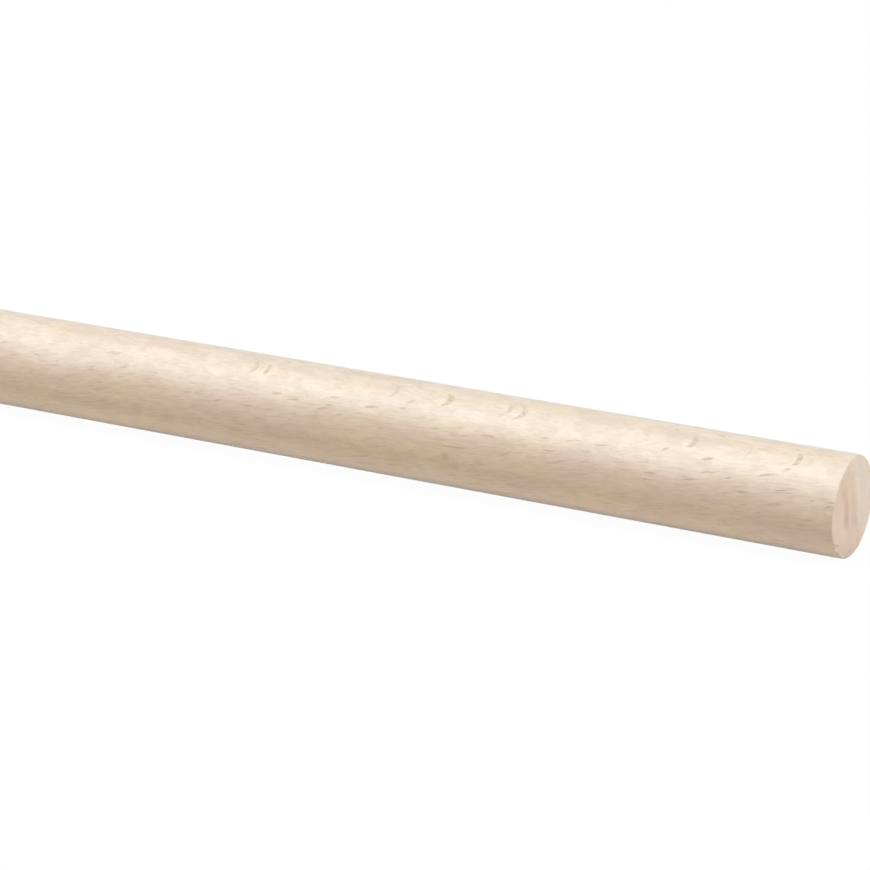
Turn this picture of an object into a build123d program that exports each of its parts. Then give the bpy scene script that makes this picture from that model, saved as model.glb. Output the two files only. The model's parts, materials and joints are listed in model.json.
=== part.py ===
from build123d import *
import os

# A wooden dowel rod: one round stick of solid beech, planed round in a rounding cutter and sawn square to length.
# Millimetres. The rod lies along X with its middle at the origin, and +Z is up.

ROD_DIAMETER = 20.0  # stock diameter of the round stick
ROD_LENGTH = 500.0  # stock length, from one sawn end to the other
ARRIS_EASE = 0.3  # radius that a stroke of sandpaper leaves on the sharp edge of each sawn end


def sawn_blank():
    """The planed stick, cut square at both ends, with its edges still sharp."""
    with BuildPart() as blank:
        with BuildSketch(Plane.YZ):
            Circle(ROD_DIAMETER / 2)
        extrude(amount=ROD_LENGTH / 2, both=True)
    return blank.part


def ease_ends(blank):
    """Round over the sharp edge where each sawn end meets the round face."""
    sharp_edges = blank.edges().filter_by(GeomType.CIRCLE)
    return fillet(sharp_edges, ARRIS_EASE)


os.makedirs("parts", exist_ok=True)
dowel_rod = ease_ends(sawn_blank())
dowel_rod.label = "dowel_rod"
export_step(dowel_rod, "parts/dowel_rod.step")
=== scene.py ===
import json
import math

import bmesh
import bpy
from mathutils import Matrix, Vector, noise


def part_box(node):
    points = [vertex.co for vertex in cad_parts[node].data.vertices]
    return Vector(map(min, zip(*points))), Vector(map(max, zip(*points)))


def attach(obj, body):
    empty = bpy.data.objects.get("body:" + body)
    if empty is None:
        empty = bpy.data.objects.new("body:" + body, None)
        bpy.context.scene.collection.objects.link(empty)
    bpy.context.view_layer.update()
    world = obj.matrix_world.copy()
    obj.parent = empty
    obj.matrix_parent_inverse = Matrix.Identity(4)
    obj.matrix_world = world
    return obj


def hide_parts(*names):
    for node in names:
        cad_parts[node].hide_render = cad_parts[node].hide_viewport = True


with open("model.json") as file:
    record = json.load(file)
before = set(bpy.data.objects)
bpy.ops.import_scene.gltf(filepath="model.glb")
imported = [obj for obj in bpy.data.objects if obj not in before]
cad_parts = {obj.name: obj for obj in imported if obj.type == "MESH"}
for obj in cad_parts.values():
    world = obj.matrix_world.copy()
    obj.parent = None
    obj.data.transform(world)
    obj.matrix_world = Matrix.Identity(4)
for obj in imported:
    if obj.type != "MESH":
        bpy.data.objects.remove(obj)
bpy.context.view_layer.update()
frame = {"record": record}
scene = bpy.context.scene


# ---------------------------------------------------------------------------------------------------
# The stick. A dowel rod is one straight stick of beech, planed round by a rounding cutter and left bare.
# It is sawn square to length, and a stroke of sandpaper takes the sharp edge off each end.
# The sawn ends are left as the saw leaves them, with a little splintering where the blade came out.

MM = 0.001
shaft = next(mount for mount in frame["record"]["mounts"] if mount["name"] == "shaft")
rod_low, rod_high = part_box("dowel_rod")
rod_radius = shaft["dims"]["r_mm"] * MM
half_length = (rod_high.x - rod_low.x) / 2
arris = half_length - shaft["dims"]["length_mm"] * MM / 2

FACETS_AROUND = 192
FACETS_ALONG = 96
ARRIS_FACETS = 5
SUPPORT_LOOPS = (1.3, 2.5, 4)  # how far back from each end they lie, in widths of the eased edge
SAWN_RINGS = 22
RIM_INSET = 0.3 * arris  # the flat strip between the eased edge and the first ring of the sawn end

stick = bmesh.new()
bmesh.ops.create_cone(
    stick,
    cap_ends=True,
    cap_tris=False,
    segments=FACETS_AROUND,
    radius1=rod_radius,
    radius2=rod_radius,
    depth=2 * half_length,
    matrix=Matrix.Rotation(math.pi / 2, 4, "Y"),
)


def reach(edge):
    """How far an edge runs along the rod."""
    return abs(edge.verts[0].co.x - edge.verts[1].co.x)


sharp_edges = [edge for edge in stick.edges if reach(edge) < arris]
bmesh.ops.bevel(
    stick,
    geom=sharp_edges,
    offset=arris,
    offset_type="OFFSET",
    segments=ARRIS_FACETS,
    profile=0.5,
    affect="EDGES",
    material=-1,
)
for sign in (-1, 1):
    # loops close beside each eased edge keep the round face's shading true up to the end
    for loop_place in SUPPORT_LOOPS:
        bmesh.ops.bisect_plane(
            stick,
            geom=stick.verts[:] + stick.edges[:] + stick.faces[:],
            plane_co=(sign * (half_length - loop_place * arris), 0, 0),
            plane_no=(1, 0, 0),
        )
long_edges = [edge for edge in stick.edges if reach(edge) > half_length]
bmesh.ops.subdivide_edges(stick, edges=long_edges, cuts=FACETS_ALONG - 1, use_grid_fill=True)

sawn_ends = [face for face in stick.faces if len(face.verts) == FACETS_AROUND]
for sawn_end in sawn_ends:
    sawn_end.material_index = 1
    bmesh.ops.inset_region(stick, faces=[sawn_end], thickness=RIM_INSET)
    ring_width = (rod_radius - arris - RIM_INSET) / (SAWN_RINGS + 1)
    for _ in range(SAWN_RINGS):
        bmesh.ops.inset_region(stick, faces=[sawn_end], thickness=ring_width)
    bmesh.ops.poke(stick, faces=[sawn_end])

# The saw's marks, the uneven edge, a sliver that the sandpaper has flattened on the near end's front edge,
# and one chip that the blade pulled out just below it.
SAWN_DEPTH = 0.03 * MM  # how far the saw's marks go below the end's true plane
SAWN_GRAIN = (7.0, 0.25, 1.6)  # a seed, then how closely the marks follow each other across and upward
WORN_DEPTH = 0.12 * MM  # how unevenly the sandpaper has taken the edge
WORN_GRAIN = (3.0, 0.7, 0.7)
WORN_REACH = 4 * arris  # how far from the edge its wear goes
SLIVER_TOP = 11  # where the flattened sliver starts and ends, in degrees above level
SLIVER_BOTTOM = -27
SLIVER_FADE = 12  # degrees over which its top end deepens
SLIVER_DEPTH = 0.12 * MM
SLIVER_WIDTH = 0.7 * arris
CHIP_AT = Vector((half_length, -0.72 * rod_radius, -0.68 * rod_radius))
CHIP_REACH = 1.2 * MM
CHIP_DEPTH = 0.4 * MM
CHIP_STEEPNESS = 1.8
CHIP_PULL = Vector((-0.8, 0.46, 0.38))  # into the wood from the edge


def height_angle(point):
    """The angle above level of a point on the rod's front, in degrees."""
    return math.degrees(math.atan2(point.z, -point.y))


def unevenness(end, point, grain):
    """Smooth noise over an end of the rod, from 0 to 1."""
    seed, across, upward = grain
    where = Vector((seed * end, point.y / MM * across, point.z / MM * upward))
    return 0.5 + 0.5 * noise.noise(where)


for vert in stick.verts:
    end = 1 if vert.co.x > 0 else -1
    from_end = half_length - abs(vert.co.x)
    from_axis = math.hypot(vert.co.y, vert.co.z)
    rim = max(0.0, 1 - from_end / WORN_REACH) * max(0.0, 1 - (rod_radius - from_axis) / WORN_REACH)
    on_sawn_plane = from_end < 0.001 * MM
    if on_sawn_plane:
        vert.co.x -= end * SAWN_DEPTH * unevenness(end, vert.co, SAWN_GRAIN)
    if rim > 0:
        worn = WORN_DEPTH * unevenness(end, vert.co, WORN_GRAIN) * rim
        vert.co.x -= end * worn
        shrink = 1 - worn / rod_radius
        vert.co.y *= shrink
        vert.co.z *= shrink
    if end > 0 and rim > 0 and SLIVER_BOTTOM < height_angle(vert.co) < SLIVER_TOP:
        flattened = min(1.0, (SLIVER_TOP - height_angle(vert.co)) / SLIVER_FADE)
        vert.co.x -= SLIVER_DEPTH * flattened * rim
    chip = max(0.0, 1 - (vert.co - CHIP_AT).length / CHIP_REACH)
    if chip > 0:
        vert.co += CHIP_DEPTH * min(1.0, CHIP_STEEPNESS * chip) * CHIP_PULL

for face in stick.faces:
    middle = face.calc_center_median()
    on_arris = half_length - SLIVER_WIDTH < middle.x
    if on_arris and SLIVER_BOTTOM < height_angle(middle) < SLIVER_TOP:
        face.material_index = 1
bmesh.ops.recalc_face_normals(stick, faces=stick.faces[:])

# The round face is unrolled in two long strips, and the two sawn ends lie beside them.
STRIPS = 2
STRIP_HEIGHT = 0.445
STRIP_START = (0.002, 0.003)  # where the wood starts in its strip, along and across, as shares of it
STRIP_SPAN = (0.996, 0.99)  # how much of the strip it fills
END_SPAN = 0.045
END_CENTRES = {1: (0.45, 0.95), -1: (0.05, 0.95)}
unrolled = stick.loops.layers.uv.new("OFBake")
for face in stick.faces:
    face.smooth = True
    middle = face.calc_center_median()
    if face.material_index == 1:
        end = 1 if middle.x > 0 else -1
        centre_u, centre_v = END_CENTRES[end]
        for loop in face.loops:
            across = loop.vert.co.y / rod_radius * END_SPAN
            upward = loop.vert.co.z / rod_radius * END_SPAN
            loop[unrolled].uv = (centre_u + end * across, centre_v + upward)
        continue
    strip = min(STRIPS - 1, int((middle.x + half_length) / (2 * half_length) * STRIPS))
    face_turn = math.atan2(middle.y, -middle.z)
    for loop in face.loops:
        co = loop.vert.co
        turn = math.atan2(co.y, -co.z) - face_turn
        turn = face_turn + (turn + math.pi) % (2 * math.pi) - math.pi
        along = (co.x + half_length) / (2 * half_length) * STRIPS - strip
        around = 0.5 + turn / (2 * math.pi)
        u = STRIP_START[0] + STRIP_SPAN[0] * along
        v = (strip + STRIP_START[1] + STRIP_SPAN[1] * around) * STRIP_HEIGHT
        loop[unrolled].uv = (u, v)

stick_mesh = bpy.data.meshes.new("planed_stick")
stick.to_mesh(stick_mesh)
stick.free()
planed_stick = bpy.data.objects.new("planed_stick", stick_mesh)
scene.collection.objects.link(planed_stick)


# Beech as it grows. The stick was cut from the outer part of a trunk whose pith lay to the front and below.
# Growth rings show as soft bands. Rays are thin upright ribbons that run from the pith outward: short dark
# dashes where the round face cuts across them, and crescents where it only grazes them, high on the front.

TRUNK_RADIUS = 90.0  # from the pith to the middle of the stick, in millimetres
PITH_BELOW = math.radians(18.4)  # the pith's direction from the stick, downward from level
PITH = (0.0, -TRUNK_RADIUS * math.cos(PITH_BELOW), -TRUNK_RADIUS * math.sin(PITH_BELOW))
FIBRE_CLIMB = 0.13  # how fast the fibres climb round the trunk, millimetres per millimetre
RING_WIDTH = 4.2  # in millimetres
RING_START = 84.15  # where one of the rings starts, in millimetres from the pith
RAY_TIPS = 1.8  # how blunt a ray's tips are
RAY_EDGE = (1.15, 0.6)  # where a ray's soft edge starts and ends, as shares of its half size


def paint(red, green, blue):
    """A colour as a paint card gives it, 0 to 255, turned into the linear light that shaders use."""
    shades = [shade / 255 for shade in (red, green, blue)]
    return [s / 12.92 if s <= 0.04045 else ((s + 0.055) / 1.055) ** 2.4 for s in shades] + [1.0]


def plug(tree, socket, value):
    """Give a node's input a number, a vector or another node's output."""
    if isinstance(value, bpy.types.NodeSocket):
        tree.links.new(value, socket)
    else:
        socket.default_value = value


def sum_of(tree, operation, *terms):
    made = tree.nodes.new("ShaderNodeMath")
    made.operation = operation
    for socket, term in zip(made.inputs, terms):
        plug(tree, socket, term)
    return made.outputs[0]


def vector_of(tree, operation, *terms):
    made = tree.nodes.new("ShaderNodeVectorMath")
    made.operation = operation
    for socket, term in zip(made.inputs, terms):
        plug(tree, socket, term)
    return made.outputs["Value" if operation in ("LENGTH", "DOT_PRODUCT") else "Vector"]


def joined(tree, x, y, z):
    made = tree.nodes.new("ShaderNodeCombineXYZ")
    for socket, value in zip(made.inputs, (x, y, z)):
        plug(tree, socket, value)
    return made.outputs[0]


def parts_of(tree, vector):
    made = tree.nodes.new("ShaderNodeSeparateXYZ")
    plug(tree, made.inputs[0], vector)
    return made.outputs


def ramped(tree, value, low, high, to_low=0.0, to_high=1.0):
    """A smooth step of a value from one level to another."""
    made = tree.nodes.new("ShaderNodeMapRange")
    made.interpolation_type = "SMOOTHSTEP"
    for name, term in (
        ("Value", value),
        ("From Min", low),
        ("From Max", high),
        ("To Min", to_low),
        ("To Max", to_high),
    ):
        plug(tree, made.inputs[name], term)
    return made.outputs["Result"]


def cloud(tree, where, detail=2.0, roughness=0.5):
    """Soft noise, as a value round 0.5 and as three values in one colour."""
    made = tree.nodes.new("ShaderNodeTexNoise")
    made.inputs["Scale"].default_value = 1.0
    made.inputs["Detail"].default_value = detail
    made.inputs["Roughness"].default_value = roughness
    plug(tree, made.inputs["Vector"], where)
    return made.outputs


def blended(tree, factor, first, second, how="MIX"):
    made = tree.nodes.new("ShaderNodeMix")
    made.data_type = "RGBA"
    made.blend_type = how
    plug(tree, made.inputs["Factor"], factor)
    colour_inputs = [socket for socket in made.inputs if socket.type == "RGBA"]
    plug(tree, colour_inputs[0], first)
    plug(tree, colour_inputs[1], second)
    return next(socket for socket in made.outputs if socket.type == "RGBA")


def tinted(tree, colour, chance, low_tint, high_tint):
    """A colour with a tint over it that swings with a cloud's value."""
    shade = blended(tree, ramped(tree, chance, 0.36, 0.64), low_tint, high_tint)
    return blended(tree, 1.0, colour, shade, "MULTIPLY")


def ribbon(tree, along, across, half_long, half_wide):
    """A ray's shape, from 1 inside to 0 outside: thickest in its middle and pointed at both tips."""
    tip = sum_of(tree, "ABSOLUTE", sum_of(tree, "DIVIDE", along, half_long))
    tip = sum_of(tree, "POWER", tip, RAY_TIPS)
    flank = sum_of(tree, "ABSOLUTE", sum_of(tree, "DIVIDE", across, half_wide))
    return ramped(tree, sum_of(tree, "ADD", tip, flank), *RAY_EDGE)


def rays(tree, along, around, stoutness, spacing, half_size, share):
    """Rays all through the wood, one to a cell, each with its own size and darkness."""
    cells = tree.nodes.new("ShaderNodeTexVoronoi")
    cells.voronoi_dimensions = "2D"
    cells.inputs["Scale"].default_value = 1.0
    where = vector_of(tree, "DIVIDE", joined(tree, along, around, 0.0), (*spacing, 1.0))
    plug(tree, cells.inputs["Vector"], where)
    offset = vector_of(tree, "SUBTRACT", where, cells.outputs["Position"])
    offset = parts_of(tree, vector_of(tree, "MULTIPLY", offset, (*spacing, 1.0)))
    chance = parts_of(tree, cells.outputs["Color"])
    other_chance = sum_of(tree, "FRACT", sum_of(tree, "MULTIPLY", chance[0], 7.3))
    # from half as long to half as long again, and from 0.6 to 1.4 times as wide
    half_long = sum_of(tree, "MULTIPLY_ADD", chance[0], half_size[0], 0.5 * half_size[0])
    half_wide = sum_of(tree, "MULTIPLY_ADD", other_chance, 0.8 * half_size[1], 0.6 * half_size[1])
    half_wide = sum_of(tree, "MULTIPLY", half_wide, stoutness)
    inside = ribbon(tree, offset[0], offset[1], half_long, half_wide)
    present = sum_of(tree, "LESS_THAN", chance[1], share)
    # most rays are faint, and a few are much darker
    darkness = sum_of(tree, "MULTIPLY", chance[2], chance[2])
    darkness = sum_of(tree, "MULTIPLY_ADD", darkness, 0.55, 0.14)
    return sum_of(tree, "MULTIPLY", inside, sum_of(tree, "MULTIPLY", present, darkness))


figure = bpy.data.node_groups.new("beech_figure", "ShaderNodeTree")
for name, kind, value in (
    ("Inner Wood", "NodeSocketColor", paint(226, 201, 171)),
    ("Middle Wood", "NodeSocketColor", paint(239, 223, 204)),
    ("Outer Wood And Top Shade", "NodeSocketColor", paint(230, 213, 192)),
    ("Bark Side Wood And Top Shade", "NodeSocketColor", paint(222, 209, 191)),
    ("Ring Edge", "NodeSocketColor", paint(196, 168, 140)),
    ("Ray", "NodeSocketColor", paint(141, 108, 74)),
    ("Inner Edge", "NodeSocketFloat", 82.9),
    ("Outer Edge", "NodeSocketFloat", 90.1),
    ("Outer Lean", "NodeSocketFloat", 0.0),
    ("Ring Contrast", "NodeSocketFloat", 0.08),
    ("Ray Contrast", "NodeSocketFloat", 0.6),
    ("Fibre Contrast", "NodeSocketFloat", 0.8),
):
    made_socket = figure.interface.new_socket(name, in_out="INPUT", socket_type=kind)
    made_socket.default_value = value
for name, kind in (
    ("Colour", "NodeSocketColor"),
    ("Relief", "NodeSocketFloat"),
    ("Lustre", "NodeSocketFloat"),
):
    figure.interface.new_socket(name, in_out="OUTPUT", socket_type=kind)
group_in = figure.nodes.new("NodeGroupInput").outputs
group_out = figure.nodes.new("NodeGroupOutput").inputs

# From here on, outward is the distance from the pith and around is the way round it, both in millimetres,
# so the numbers in a ramp are places in the trunk. The stick is from 80 to 100 outward and 20 to 40 round.
object_place = figure.nodes.new("ShaderNodeTexCoord").outputs["Object"]
in_tree = vector_of(figure, "MULTIPLY", object_place, (1 / MM, 1 / MM, 1 / MM))
in_tree = vector_of(figure, "SUBTRACT", in_tree, PITH)
along_trunk, from_pith_y, from_pith_z = parts_of(figure, in_tree)
outward = vector_of(figure, "LENGTH", joined(figure, 0.0, from_pith_y, from_pith_z))
around = sum_of(figure, "ARCTAN2", from_pith_z, from_pith_y)
around = sum_of(figure, "MULTIPLY", around, TRUNK_RADIUS)

# the fibres climb round the trunk and wander a little as they go
in_trunk = joined(figure, along_trunk, outward, around)
wander = cloud(figure, vector_of(figure, "MULTIPLY", in_trunk, (0.028, 0.07, 0.09)), detail=1.0)
wander_out, wander_round, wander_tone = parts_of(figure, wander["Color"])
outward = sum_of(figure, "ADD", outward, sum_of(figure, "MULTIPLY_ADD", wander_out, 3.0, -1.5))
wobble = cloud(figure, vector_of(figure, "MULTIPLY", in_trunk, (0.5, 0.4, 0.5)), detail=3.0, roughness=0.6)
around = sum_of(figure, "ADD", around, sum_of(figure, "MULTIPLY_ADD", wobble[0], 0.24, -0.12))
grown_round = sum_of(figure, "MULTIPLY_ADD", along_trunk, -FIBRE_CLIMB, around)
grown_round = sum_of(figure, "ADD", grown_round, sum_of(figure, "MULTIPLY_ADD", wander_round, 4.0, -2.0))
place = joined(figure, along_trunk, outward, grown_round)

# growth rings: each darkens toward its outer edge, and the next one starts pale
ring_place = sum_of(figure, "DIVIDE", sum_of(figure, "SUBTRACT", outward, RING_START), RING_WIDTH)
ring_age = sum_of(figure, "FRACT", ring_place)
ring_edge = sum_of(
    figure, "MULTIPLY", ramped(figure, ring_age, 0.0, 0.66), ramped(figure, ring_age, 1.0, 0.8)
)
# the rings fade toward the bark, toward the pith, down the low side and at the very top
barkward = sum_of(figure, "ADD", outward, sum_of(figure, "MULTIPLY_ADD", around, 0.35, -9.8))
ring_edge = sum_of(figure, "MULTIPLY", ring_edge, ramped(figure, barkward, 88.4, 91.4, 1.0, 0.2))
ring_edge = sum_of(figure, "MULTIPLY", ring_edge, ramped(figure, outward, 84.6, 86.6, 0.1, 1.0))
ring_edge = sum_of(figure, "MULTIPLY", ring_edge, ramped(figure, wander_tone, 0.38, 0.6, 0.65, 1.0))
from_below = sum_of(figure, "ADD", around, sum_of(figure, "MULTIPLY_ADD", outward, 0.5, -43.65))
ring_edge = sum_of(figure, "MULTIPLY", ring_edge, ramped(figure, from_below, 24.5, 28.5, 0.08, 1.0))
ring_edge = sum_of(figure, "MULTIPLY", ring_edge, ramped(figure, around, 35.0, 38.0, 1.0, 0.3))

# the wood's colour from the inside out, with a rosy line where it starts to pale, and painted shade low
# down
past_inner = sum_of(figure, "SUBTRACT", outward, group_in["Inner Edge"])
past_outer = sum_of(figure, "SUBTRACT", outward, group_in["Outer Edge"])
from_middle = sum_of(figure, "SUBTRACT", around, 30.0)
lean = sum_of(figure, "MULTIPLY", from_middle, group_in["Outer Lean"])
past_outer = sum_of(figure, "ADD", past_outer, lean)
inner_step = ramped(figure, past_inner, -2.3, 2.4)
outer_step = ramped(figure, past_outer, -1.5, 1.5)
colour = blended(figure, inner_step, group_in["Inner Wood"], group_in["Middle Wood"])
rosy = ramped(figure, past_inner, -2.9, -2.0)
rosy = sum_of(figure, "MULTIPLY", rosy, ramped(figure, past_inner, 1.0, -0.8))
rosy = sum_of(figure, "MULTIPLY", rosy, group_in["Fibre Contrast"])
colour = blended(figure, rosy, colour, (0.958, 0.955, 1.018, 1.0), "MULTIPLY")
# painted shade: the wood darkens toward the bottom, which turns away from the overhead light
low_down_shade = ramped(figure, around, 25.4, 21.4)
low_down_shade = sum_of(figure, "MULTIPLY", low_down_shade, group_in["Fibre Contrast"])
colour = blended(figure, low_down_shade, colour, (0.90, 0.90, 0.92, 1.0), "MULTIPLY")
# on the round face the outer rings toward the top are a shade darker: partly their tone, partly painted
# shade
colour = blended(figure, outer_step, colour, group_in["Outer Wood And Top Shade"])

# a greyer band along the top: the bark side's tone and painted shade. The back and underside are warm
# again.
underside = ramped(figure, outward, 89.0, 93.0)
underside = sum_of(figure, "MULTIPLY", underside, ramped(figure, around, 26.0, 22.0))
back_side = sum_of(figure, "MAXIMUM", ramped(figure, outward, 96.0, 98.5), underside)
bark_side_and_top_shade = ramped(figure, past_outer, 1.9, 3.6)
bark_side_and_top_shade = sum_of(figure, "MULTIPLY", bark_side_and_top_shade, ramped(figure, back_side, 1.0, 0.0))
colour = blended(figure, bark_side_and_top_shade, colour, group_in["Bark Side Wood And Top Shade"])
back_warmth = sum_of(figure, "MULTIPLY", back_side, 0.65)
back_warmth = sum_of(figure, "MULTIPLY", back_warmth, group_in["Fibre Contrast"])
colour = blended(figure, back_warmth, colour, group_in["Inner Wood"])
ring_share = sum_of(figure, "MULTIPLY", ring_edge, group_in["Ring Contrast"])
colour = blended(figure, ring_share, colour, group_in["Ring Edge"])

# rosier, yellower and darker clouds along the stick
tint = cloud(figure, vector_of(figure, "MULTIPLY", place, (0.07, 0.3, 0.25)), detail=2.0)
tint_rose, tint_straw, tint_depth = parts_of(figure, tint["Color"])
for chance, low_tint, high_tint in (
    (tint_rose, (0.997, 1.007, 1.0, 1.0), (1.003, 0.993, 1.0, 1.0)),
    (tint_straw, (1.0, 1.0, 1.02, 1.0), (1.0, 1.0, 0.979, 1.0)),
    (tint_depth, (1.018, 1.018, 1.018, 1.0), (0.982, 0.979, 0.977, 1.0)),
):
    colour = tinted(figure, colour, chance, low_tint, high_tint)

# small patches where the fibres curl a little and take the light differently
patch = cloud(figure, vector_of(figure, "MULTIPLY", place, (0.22, 0.8, 0.9)), detail=1.0)
patch_tone, patch_rose, _ = parts_of(figure, patch["Color"])
colour = tinted(figure, colour, patch_tone, (1.016, 1.016, 1.016, 1.0), (0.984, 0.980, 0.976, 1.0))
colour = tinted(figure, colour, patch_rose, (0.995, 1.005, 1.0, 1.0), (1.005, 0.995, 1.0, 1.0))

# high on the front, where the cutter only grazed the rays, small pale curls: partly figure, partly painted
# highlight
dapple = cloud(figure, vector_of(figure, "MULTIPLY", in_trunk, (0.26, 0.36, 0.40)), detail=2.0)
dapple = ramped(figure, dapple[0], 0.44, 0.57)
shade = blended(figure, dapple, (0.960, 0.955, 0.950, 1.0), (1.030, 1.033, 1.036, 1.0))
dappled = ramped(figure, outward, 82.0, 86.5, 0.4, 1.2)
dappled = sum_of(figure, "MULTIPLY", dappled, ramped(figure, back_side, 0.0, 1.0, 1.0, 0.5))
dappled = sum_of(figure, "MULTIPLY", dappled, group_in["Fibre Contrast"])
colour = blended(figure, dappled, colour, shade, "MULTIPLY")

# fibres: short fine streaks along the climbing grain
fibre = cloud(figure, vector_of(figure, "MULTIPLY", place, (0.35, 2.0, 2.2)), detail=3.0, roughness=0.6)
streak = ramped(figure, fibre[0], 0.40, 0.65)
shade = blended(figure, streak, (1.05, 1.06, 1.07, 1.0), (0.95, 0.94, 0.93, 1.0))
streaked = ramped(figure, outward, 85.0, 89.0, 1.0, 0.8)
streaked = sum_of(figure, "MULTIPLY", streaked, group_in["Fibre Contrast"])
colour = blended(figure, streaked, colour, shade, "MULTIPLY")

# The rays that show best toward the near end. Each row is how far the ray lies from that end, the angle
# above level at which it meets the round face, half its length, half its width, and how dark it is, in
# millimetres and degrees. Away from the end the grain straightens, apart from where it is only grazed.
FULL_CLIMB_TO = 30
STRAIGHTENED_BY = 60
CLIMB_LOST = 0.65
GRAZED_ABOVE = 60
SHOWN_RAYS = (
    (9.5, 65, 1.0, 0.13, 0.70),
    (19.5, 65, 0.9, 0.06, 0.40),
    (31.0, 64, 1.2, 0.14, 0.58),
    (67.5, 65, 2.0, 0.10, 0.56),
    (70.5, 66, 2.4, 0.07, 0.38),
    (84.0, 65, 1.5, 0.12, 0.66),
    (96.0, 65, 1.4, 0.10, 0.30),
    (126.0, 66, 0.8, 0.15, 0.57),
    (129.0, 66, 1.0, 0.15, 0.52),
    (92.0, 78, 1.0, 0.10, 0.60),
    (11.0, 49, 0.9, 0.11, 0.85),
    (14.5, 39, 2.2, 0.15, 0.70),
    (27.0, 46, 1.4, 0.13, 0.85),
    (36.0, 49, 0.8, 0.11, 0.85),
    (25.0, 32, 1.3, 0.14, 0.50),
    (22.0, 28, 0.7, 0.12, 0.60),
    (11.0, 25, 1.5, 0.11, 0.75),
    (18.5, 16, 1.8, 0.15, 0.85),
    (29.5, 20, 2.3, 0.15, 0.70),
    (38.5, 12, 0.9, 0.12, 1.00),
    (44.5, 25, 1.8, 0.14, 0.55),
    (49.0, 40, 1.5, 0.09, 0.70),
    (55.0, 40, 1.8, 0.10, 0.60),
    (51.5, 30, 1.3, 0.12, 0.50),
    (61.0, 37, 1.3, 0.13, 0.60),
    (59.5, 24, 1.7, 0.14, 0.70),
    (80.5, 9, 3.6, 0.20, 0.85),
    (73.0, 28, 1.8, 0.12, 0.65),
    (93.0, 43, 1.0, 0.14, 0.48),
    (100.0, 38, 1.8, 0.15, 0.73),
    (108.5, 42, 1.4, 0.13, 0.50),
    (121.5, 35, 1.4, 0.15, 0.70),
    (117.5, 31, 1.9, 0.13, 0.62),
    (140.5, 30, 2.4, 0.14, 0.36),
    (162.5, 50, 2.6, 0.13, 0.50),
    (180.5, 31, 1.2, 0.13, 0.70),
    (1.0, 21, 1.0, 0.13, 0.70),
    (1.0, 17, 0.8, 0.14, 0.70),
)


def on_round_face(from_end, angle):
    """A point of the round face as the trunk places it, in millimetres."""
    turn = math.radians(angle)
    radius = rod_radius / MM
    return (
        half_length / MM - from_end,
        -radius * math.cos(turn) - PITH[1],
        radius * math.sin(turn) - PITH[2],
    )


stoutness = ramped(figure, outward, 80.0, 87.0, 1.9, 0.8)
stoutness = sum_of(figure, "MAXIMUM", stoutness, sum_of(figure, "MULTIPLY", back_side, 1.7))
long_rays = rays(figure, along_trunk, grown_round, stoutness, (6.0, 1.8), (1.9, 0.13), 0.75)
short_rays = rays(figure, along_trunk, grown_round, stoutness, (3.4, 1.1), (1.1, 0.08), 0.6)
ray_share = sum_of(figure, "MAXIMUM", long_rays, short_rays)
# away from the near end, the rays high on the front are thinned out to let the shown ones tell
kept_clear = ramped(figure, around, 36.9, 38.2, 1.0, 0.25)
kept_clear = sum_of(figure, "MAXIMUM", kept_clear, ramped(figure, along_trunk, 55.0, 35.0))
ray_share = sum_of(figure, "MULTIPLY", ray_share, kept_clear)
for from_end, angle, half_long, half_wide, darkness in SHOWN_RAYS:
    met_x, met_y, met_z = on_round_face(from_end, angle)
    met_round = math.atan2(met_z, met_y) * TRUNK_RADIUS
    from_ray = sum_of(figure, "SUBTRACT", along_trunk, met_x)
    across_ray = sum_of(figure, "SUBTRACT", around, met_round)
    straightened = (from_end - FULL_CLIMB_TO) / (STRAIGHTENED_BY - FULL_CLIMB_TO)
    straightened = 0.0 if angle > GRAZED_ABOVE else min(1.0, max(0.0, straightened))
    climb = FIBRE_CLIMB * (1 - CLIMB_LOST * straightened)
    across_ray = sum_of(figure, "MULTIPLY_ADD", from_ray, -climb, across_ray)
    shown = ribbon(figure, from_ray, across_ray, half_long, half_wide)
    ray_share = sum_of(figure, "MAXIMUM", ray_share, sum_of(figure, "MULTIPLY", shown, darkness))
ray_clearness = sum_of(figure, "MAXIMUM", ramped(figure, outward, 89.0, 92.0, 1.0, 0.4), back_side)
ray_share = sum_of(figure, "MULTIPLY", ray_share, ray_clearness)
ray_share = sum_of(figure, "MULTIPLY", ray_share, ramped(figure, outward, 80.5, 83.0, 0.6, 1.0))
mottle = cloud(figure, vector_of(figure, "MULTIPLY", in_trunk, (1.4, 1.4, 6.0)), detail=1.0)
ray_share = sum_of(figure, "MULTIPLY", ray_share, ramped(figure, mottle[0], 0.35, 0.6, 0.55, 1.0))

# two soft brown spots. Each row is how far the spot lies from the near end, its angle above level, how far
# it fades out, and how dark it is.
SOFT_SPOTS = ((82.0, -5, 1.4, 0.46), (80.0, -13, 1.8, 0.30))
SPOT_WOBBLE = 1.6
SPOT_CORE = 0.9
for from_end, angle, fade, darkness in SOFT_SPOTS:
    from_spot = vector_of(figure, "SUBTRACT", in_tree, on_round_face(from_end, angle))
    to_spot = vector_of(figure, "LENGTH", from_spot)
    to_spot = sum_of(figure, "MULTIPLY_ADD", wobble[0], SPOT_WOBBLE, to_spot)
    spot = ramped(figure, to_spot, SPOT_CORE + fade, SPOT_CORE, 0.0, darkness)
    ray_share = sum_of(figure, "MAXIMUM", ray_share, spot)
ray_dark = sum_of(figure, "MULTIPLY", ray_share, group_in["Ray Contrast"])
colour = blended(figure, ray_dark, colour, group_in["Ray"])
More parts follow.
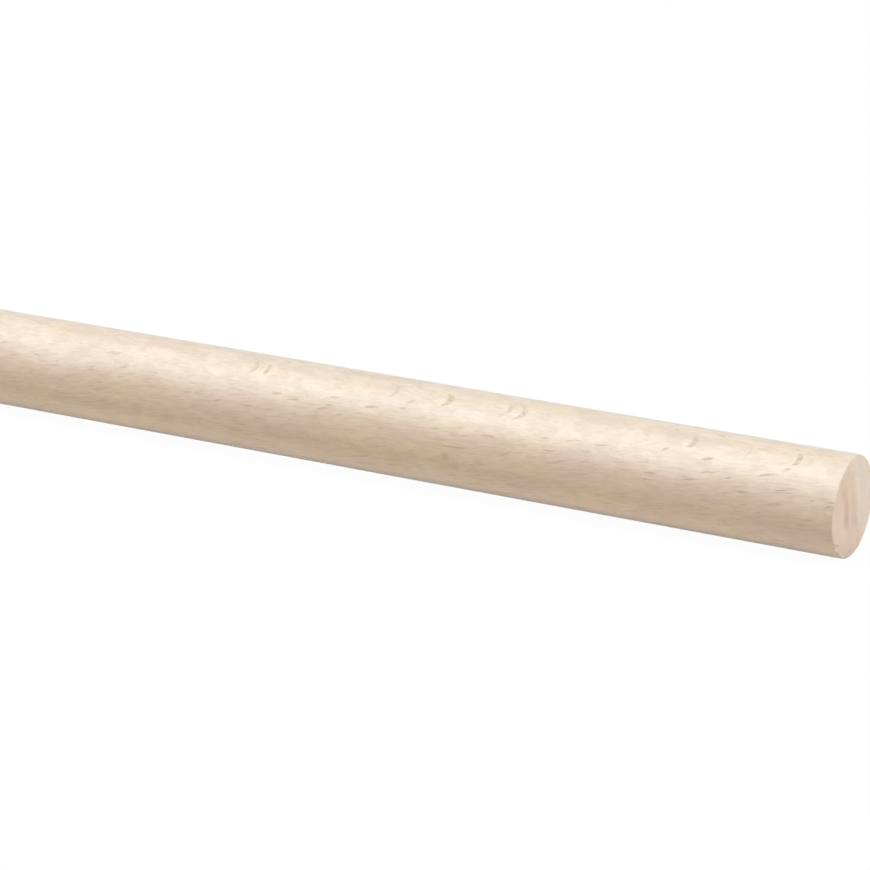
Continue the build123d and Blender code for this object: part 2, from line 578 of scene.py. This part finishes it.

# above the near end's chip, a short dark line of painted shadow; inside the chip, pale torn wood with
# painted light
CHIP_SHADOW_AT = (-7.4, -5.4, 0.0)  # across and up the end, in millimetres from its middle
CHIP_SHADOW_SLOPE = math.radians(-27)
CHIP_SHADOW_HALF_LONG = 1.7
CHIP_SHADOW_HALF_WIDE = 0.26
CHIP_SHADOW_DEPTH = 0.27  # how much of its shadow shows
TORN_AND_LIT_AT = (0.45, -1.05, 0.0)  # from the middle of the painted shadow
TORN_AND_LIT_DEPTH = 0.6
place_x, place_y, place_z = parts_of(figure, vector_of(figure, "ADD", in_tree, PITH))
across_end = joined(figure, place_y, place_z, 0.0)
from_chip_shadow = vector_of(figure, "SUBTRACT", across_end, CHIP_SHADOW_AT)
along_chip_shadow = (math.cos(CHIP_SHADOW_SLOPE), math.sin(CHIP_SHADOW_SLOPE), 0.0)
across_chip_shadow = (-math.sin(CHIP_SHADOW_SLOPE), math.cos(CHIP_SHADOW_SLOPE), 0.0)
chip_shadow = ribbon(
    figure,
    vector_of(figure, "DOT_PRODUCT", from_chip_shadow, along_chip_shadow),
    vector_of(figure, "DOT_PRODUCT", from_chip_shadow, across_chip_shadow),
    CHIP_SHADOW_HALF_LONG,
    CHIP_SHADOW_HALF_WIDE,
)
# only the last half millimetre of the near end has the chip's painted shadow and light and the low edge's
# painted shade
near_the_end = ramped(figure, place_x, half_length / MM - 0.6, half_length / MM - 0.3)
chip_shadow = sum_of(figure, "MULTIPLY", chip_shadow, sum_of(figure, "MULTIPLY", near_the_end, CHIP_SHADOW_DEPTH))
# painted shadow under the chip's upper edge
colour = blended(figure, chip_shadow, colour, paint(122, 70, 34))
# the chip's floor faces up to the light: pale torn wood and painted light
to_torn_and_lit = vector_of(figure, "LENGTH", vector_of(figure, "SUBTRACT", from_chip_shadow, TORN_AND_LIT_AT))
torn_and_lit = sum_of(figure, "MULTIPLY", ramped(figure, to_torn_and_lit, 0.9, 0.4), near_the_end)
colour = blended(figure, sum_of(figure, "MULTIPLY", torn_and_lit, TORN_AND_LIT_DEPTH), colour, paint(250, 232, 212))

# painted shade on the near end's lowest edge, where it turns down from the light
LOW_EDGE_AT = (-2.9, -8.4, 0.0)
to_low_edge = vector_of(figure, "LENGTH", vector_of(figure, "SUBTRACT", across_end, LOW_EDGE_AT))
near_rim = ramped(figure, vector_of(figure, "LENGTH", across_end), 6.6, 9.0)
low_rim_shade = sum_of(figure, "MULTIPLY", ramped(figure, to_low_edge, 4.6, 2.8), near_rim)
low_rim_shade = sum_of(figure, "MULTIPLY", low_rim_shade, near_the_end)
colour = blended(figure, low_rim_shade, colour, (0.90, 0.938, 0.95, 1.0), "MULTIPLY")

# the fibres stand up a little and the rays lie a little lower, in millimetres
FIBRE_RELIEF = 0.012
RAY_RELIEF = 0.008
relief = sum_of(figure, "MULTIPLY", fibre[0], FIBRE_RELIEF)
relief = sum_of(figure, "SUBTRACT", relief, sum_of(figure, "MULTIPLY", ray_share, RAY_RELIEF))
plug(figure, group_out["Colour"], colour)
plug(figure, group_out["Relief"], relief)
plug(figure, group_out["Lustre"], ray_share)

RAY_POLISH = 0.08  # how much smoother a ray is than the wood round it


def wood_material(name, contrasts, roughness, surface_marks, marks_depth):
    """A cut face of the beech: the figure, then the marks that its tool left, as bump in millimetres."""
    material = bpy.data.materials.new(name)
    material.use_nodes = True
    tree = material.node_tree
    shader = tree.nodes["Principled BSDF"]
    shader.inputs["Specular IOR Level"].default_value = 0.5
    wood = tree.nodes.new("ShaderNodeGroup")
    wood.node_tree = figure
    for socket_name, value in contrasts.items():
        wood.inputs[socket_name].default_value = value
    tree.links.new(wood.outputs["Colour"], shader.inputs["Base Color"])
    satin = ramped(tree, wood.outputs["Lustre"], 0.0, 1.0, roughness, roughness - RAY_POLISH)
    tree.links.new(satin, shader.inputs["Roughness"])
    marks = sum_of(tree, "MULTIPLY", surface_marks(tree), marks_depth)
    bump = tree.nodes.new("ShaderNodeBump")
    bump.inputs["Strength"].default_value = 1.0
    bump.inputs["Distance"].default_value = MM
    plug(tree, bump.inputs["Height"], sum_of(tree, "ADD", wood.outputs["Relief"], marks))
    tree.links.new(bump.outputs["Normal"], shader.inputs["Normal"])
    return material


def cutter_ripple(tree):
    """Faint waves that the rounding cutter leaves along the stick, about one each 2 mm."""
    made = tree.nodes.new("ShaderNodeTexWave")
    made.bands_direction = "X"
    made.inputs["Scale"].default_value = 75.0
    made.inputs["Distortion"].default_value = 1.5
    made.inputs["Detail"].default_value = 1.0
    tree.links.new(tree.nodes.new("ShaderNodeTexCoord").outputs["Object"], made.inputs["Vector"])
    return made.outputs["Fac"]


def saw_scratch(tree):
    """Scratches that the blade's teeth leave across the end, nearly upright."""
    turned = tree.nodes.new("ShaderNodeMapping")
    turned.inputs["Rotation"].default_value = (math.radians(-24), 0, 0)
    turned.inputs["Scale"].default_value = (1.0, 1000.0, 90.0)
    tree.links.new(tree.nodes.new("ShaderNodeTexCoord").outputs["Object"], turned.inputs["Vector"])
    return cloud(tree, turned.outputs[0], detail=3.0, roughness=0.6)[0]


planed_beech = wood_material("planed_beech", {}, 0.46, cutter_ripple, 0.002)
sawn_beech = wood_material(
    "sawn_beech",
    {
        "Inner Wood": paint(241, 213, 190),
        "Middle Wood": paint(236, 212, 190),
        "Outer Wood And Top Shade": paint(243, 225, 204),
        "Bark Side Wood And Top Shade": paint(244, 226, 208),
        "Ring Edge": paint(187, 149, 128),
        "Inner Edge": 87.2,
        "Outer Edge": 91.4,
        "Outer Lean": 0.12,
        "Ring Contrast": 0.41,
        "Ray Contrast": 0.1,
        "Fibre Contrast": 0.1,
    },
    0.62,
    saw_scratch,
    0.05,
)
stick_mesh.materials.append(planed_beech)
stick_mesh.materials.append(sawn_beech)

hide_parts("dowel_rod")
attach(planed_stick, "root")


# ---------------------------------------------------------------------------------------------------
# The table top that the rod lies on: a smooth matt white sheet, far wider than the rod, so that
# it runs out of sight. It shows as plain white and keeps the rod's soft shadow.

TABLE_HALF_WIDTH = 6.0
TABLE_SHADE = 0.775  # how much of the light it throws back at the rod
TABLE_GLOW = 0.03  # the light that comes up through the sheet
TABLE_LIFT = 0.965  # how white the sheet shows in the deepest shadow
SHADOW_REACH = (0.3, 1.2)  # how many metres from the rod's middle its shadow starts to go and is gone

sheet = bmesh.new()
bmesh.ops.create_grid(
    sheet,
    x_segments=1,
    y_segments=1,
    size=TABLE_HALF_WIDTH,
    matrix=Matrix.Translation((0, 0, -rod_radius)),
)
sheet_mesh = bpy.data.meshes.new("table_top")
sheet.to_mesh(sheet_mesh)
sheet.free()
table_top = bpy.data.objects.new("table_top", sheet_mesh)
scene.collection.objects.link(table_top)


def seen_rays(tree):
    """1 for rays that show a thing, straight on or in a reflection, and 0 for rays that only light it."""
    path = tree.nodes.new("ShaderNodeLightPath").outputs
    seen = sum_of(tree, "MAXIMUM", path["Is Camera Ray"], path["Is Glossy Ray"])
    return sum_of(tree, "MAXIMUM", seen, path["Is Transmission Ray"])


matt_white = bpy.data.materials.new("matt_white")
matt_white.use_nodes = True
white_tree = matt_white.node_tree
white_tree.nodes.clear()
seen = seen_rays(white_tree)
sheet_place = white_tree.nodes.new("ShaderNodeTexCoord").outputs["Object"]
from_rod = vector_of(white_tree, "LENGTH", sheet_place)
lift = ramped(white_tree, from_rod, *SHADOW_REACH, TABLE_LIFT, 1.0)
lit_shade = [TABLE_SHADE] * 3 + [1.0]
shown_shade = [1.0 - TABLE_LIFT] * 3 + [1.0]
diffuse = white_tree.nodes.new("ShaderNodeBsdfDiffuse")
plug(white_tree, diffuse.inputs["Color"], blended(white_tree, seen, lit_shade, shown_shade))
glow = white_tree.nodes.new("ShaderNodeEmission")
shown_lift = sum_of(white_tree, "SUBTRACT", lift, TABLE_GLOW)
glow_strength = sum_of(white_tree, "MULTIPLY_ADD", seen, shown_lift, TABLE_GLOW)
plug(white_tree, glow.inputs["Strength"], glow_strength)
both = white_tree.nodes.new("ShaderNodeAddShader")
white_tree.links.new(diffuse.outputs[0], both.inputs[0])
white_tree.links.new(glow.outputs[0], both.inputs[1])
surface = white_tree.nodes.new("ShaderNodeOutputMaterial")
white_tree.links.new(both.outputs[0], surface.inputs["Surface"])
sheet_mesh.materials.append(matt_white)


# ---------------------------------------------------------------------------------------------------
# Studio light: one long softbox overhead, a weaker one at each end of the table, and a little light
# from all round. The surroundings look white to the camera.

AIM = Vector((half_length - 0.09, 0, 0))
SOFT_FILL = 0.11  # how bright the surroundings are as light, where the camera sees 1


def softbox(name, side, rise, distance, wide, tall, power):
    """A soft lamp aimed near the near end; side is its angle round from the front and rise its angle up."""
    turn, lift = math.radians(side), math.radians(rise)
    away = Vector((math.sin(turn) * math.cos(lift), -math.cos(turn) * math.cos(lift), math.sin(lift)))
    lamp = bpy.data.lights.new(name, "AREA")
    lamp.shape = "RECTANGLE"
    lamp.size = wide
    lamp.size_y = tall
    lamp.energy = power
    holder = bpy.data.objects.new(name, lamp)
    holder.location = AIM + away * distance
    holder.rotation_mode = "QUATERNION"
    holder.rotation_quaternion = away.to_track_quat("Z", "Y")
    scene.collection.objects.link(holder)


softbox("overhead_box", side=0, rise=74.5, distance=2.2, wide=2.9, tall=0.66, power=52.5)
softbox("right_box", side=100, rise=20, distance=1.2, wide=0.8, tall=0.4, power=3.25)
softbox("left_box", side=-100, rise=20, distance=1.2, wide=0.8, tall=0.4, power=1.5)

surroundings = bpy.data.worlds.new("surroundings")
surroundings.use_nodes = True
scene.world = surroundings
sky_tree = surroundings.node_tree
background = sky_tree.nodes["Background"]
background.inputs["Color"].default_value = (1.0, 1.0, 1.0, 1.0)
strength = sum_of(sky_tree, "MULTIPLY_ADD", seen_rays(sky_tree), 1 - SOFT_FILL, SOFT_FILL)
plug(sky_tree, background.inputs["Strength"], strength)


# ---------------------------------------------------------------------------------------------------
# The camera looks down along the near end from the front right, at a long lens's distance.

SIDE_TURN = math.radians(28.76)
LOOK_DOWN = math.radians(18.8)
CAMERA_DISTANCE = 0.6667
LENS_LENGTH = 137.7  # in millimetres, on a 36 mm wide picture
AIM_FROM_END = 0.0897
AIM_DROP = 0.04 * rod_radius

target = Vector((half_length - AIM_FROM_END, 0, -AIM_DROP))
back = Vector(
    (
        math.sin(SIDE_TURN) * math.cos(LOOK_DOWN),
        -math.cos(SIDE_TURN) * math.cos(LOOK_DOWN),
        math.sin(LOOK_DOWN),
    )
)
camera = bpy.data.objects.new("camera", bpy.data.cameras.new("camera"))
camera.data.sensor_width = 36.0
camera.data.lens = LENS_LENGTH
camera.data.clip_start = 0.01
camera.data.clip_end = 50.0
camera.location = target + back * CAMERA_DISTANCE
camera.rotation_mode = "QUATERNION"
camera.rotation_quaternion = (-back).to_track_quat("-Z", "Y")
scene.collection.objects.link(camera)
scene.camera = camera
scene.view_settings.view_transform = "Standard"


bpy.context.view_layer.update()
